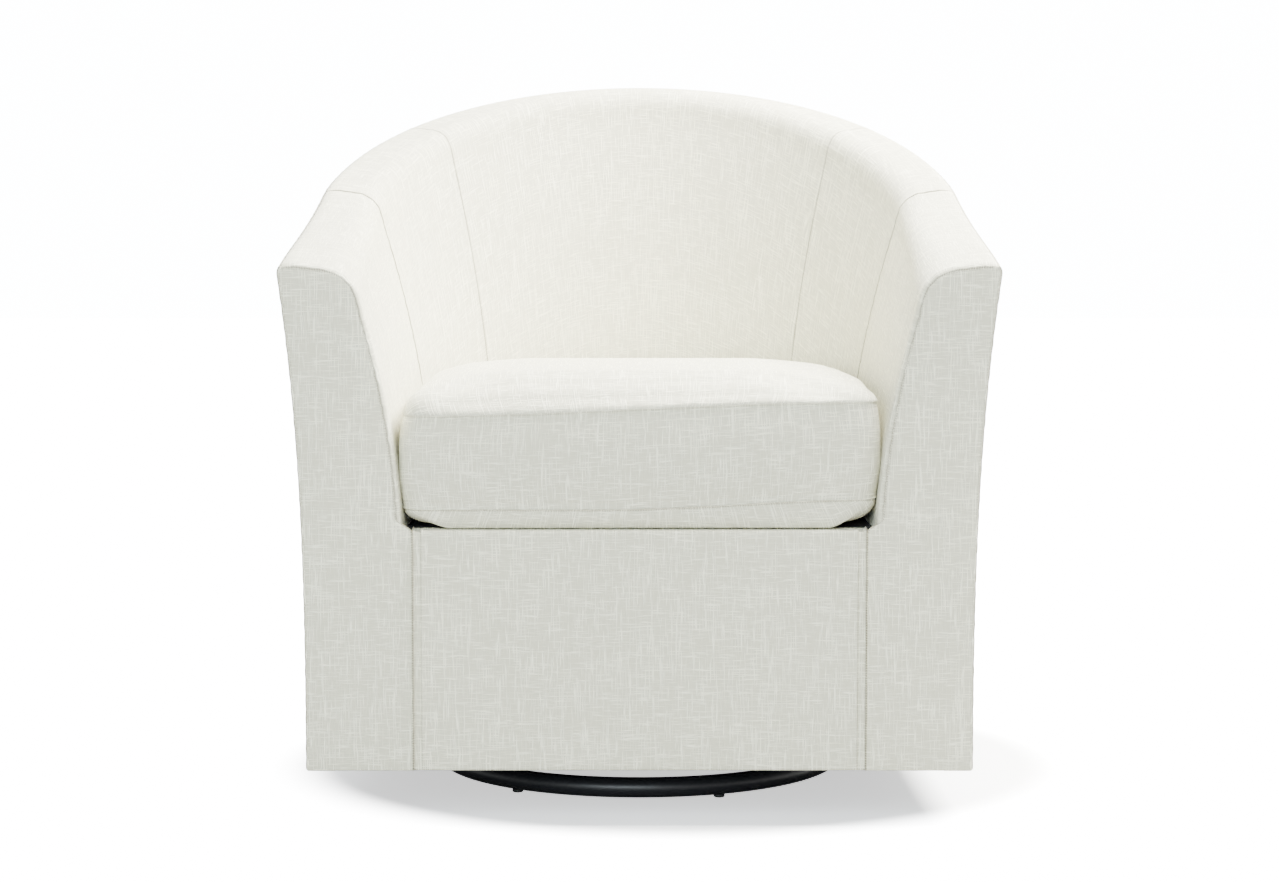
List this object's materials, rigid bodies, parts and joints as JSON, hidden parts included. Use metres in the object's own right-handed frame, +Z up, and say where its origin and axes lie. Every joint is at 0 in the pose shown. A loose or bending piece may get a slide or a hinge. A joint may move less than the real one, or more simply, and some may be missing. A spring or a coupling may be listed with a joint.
{
  "type": "swivel barrel chair",
  "caption": "Upholstered barrel armchair with a flared rim, a loose boxed seat cushion and a round tube base it swivels on.",
  "frame": {"origin": "on the floor on the swivel axis, below the middle of the chair", "axes": "+Z up, -Y towards the front of the seat, +X to the right of a viewer who faces the chair"},
  "size_m": [0.737, 0.702, 0.78],
  "materials": {
    "ring_paint": "satin black powder coat",
    "glide_plastic": "matt black",
    "plate_steel": "dark zinc phosphate",
    "bolt_zinc": "bright zinc",
    "ball_steel": "polished",
    "cage_brass": "pressed sheet",
    "spring_steel": "drawn wire",
    "plywood": "sanded birch plywood",
    "fibreboard": "thin hardboard",
    "foam": "open-cell foam",
    "padding": "polyester fibre",
    "cover_cloth": "off-white linen-look weave with slubs",
    "black_cloth": "black lining cloth",
    "zip_cloth": "woven zip tape",
    "zip_metal": "nickel plated"
  },
  "bodies": {
    "base": {"base_ring": "ring_paint", "foot_glides": "glide_plastic", "cross_bar": "ring_paint", "half_bars": "ring_paint", "lower_plate": "plate_steel", "plate_bolts": "bolt_zinc", "plate_nuts": "bolt_zinc"},
    "bearing": {"ball_cage": "cage_brass", "bearing_balls": "ball_steel"},
    "chair": {"upper_plate": "plate_steel", "king_rivet": "bolt_zinc", "mounting_bolts": "bolt_zinc", "tee_nuts": "bolt_zinc", "base_board": "plywood", "doubler_board": "plywood", "seat_hoop": "plywood", "front_rail_board": "plywood", "rib_front_left": "plywood", "rib_front_right": "plywood", "rib_side_left": "plywood", "rib_side_right": "plywood", "rib_rear_left": "plywood", "rib_rear_right": "plywood", "rib_back": "plywood", "top_rail": "plywood", "inner_boards": "fibreboard", "outer_boards": "fibreboard", "zigzag_springs": "spring_steel", "spring_clips": "bolt_zinc", "deck_pad": "padding", "deck_cover": "black_cloth", "arm_foam_left": "foam", "arm_foam_right": "foam", "wing_foam_left": "foam", "wing_foam_right": "foam", "back_foam": "foam", "outer_padding": "padding", "front_pad_left": "padding", "front_pad_right": "padding", "rail_pad": "padding", "arm_front_cover_left": "cover_cloth", "arm_front_cover_right": "cover_cloth", "rail_cover": "cover_cloth", "inside_arm_cover_left": "cover_cloth", "inside_arm_cover_right": "cover_cloth", "inside_wing_cover_left": "cover_cloth", "inside_wing_cover_right": "cover_cloth", "inside_back_cover": "cover_cloth", "outside_cover_left": "cover_cloth", "outside_cover_right": "cover_cloth", "outside_back_cover": "cover_cloth", "dust_cover": "black_cloth"},
    "cushion": {"cushion_foam": "foam", "cushion_top": "cover_cloth", "cushion_boxing": "cover_cloth", "cushion_bottom": "cover_cloth", "zip_tape": "zip_cloth"},
    "zip": {"zip_slider": "zip_metal"}
  },
  "joints": [
    {"name": "swivel", "type": "hinge", "parent": "base", "child": "chair", "pos_m": [0, 0, 0], "axis": [0, 0, 1], "continuous": true},
    {"name": "ball_roll", "type": "hinge", "parent": "base", "child": "bearing", "pos_m": [0, 0, 0], "axis": [0, 0, 1], "continuous": true},
    {"name": "cushion_lift", "type": "slide", "parent": "chair", "child": "cushion", "axis": [0, 0, 1], "range_m": [0, 0.35]},
    {"name": "zip_slide", "type": "hinge", "parent": "cushion", "child": "zip", "pos_m": [0, -0.14356, 0], "axis": [0, 0, 1], "range_deg": [-51.5, 0]}
  ],
  "couplings": [
    {"joint": "ball_roll", "follows": "swivel", "ratio": 0.5}
  ]
}
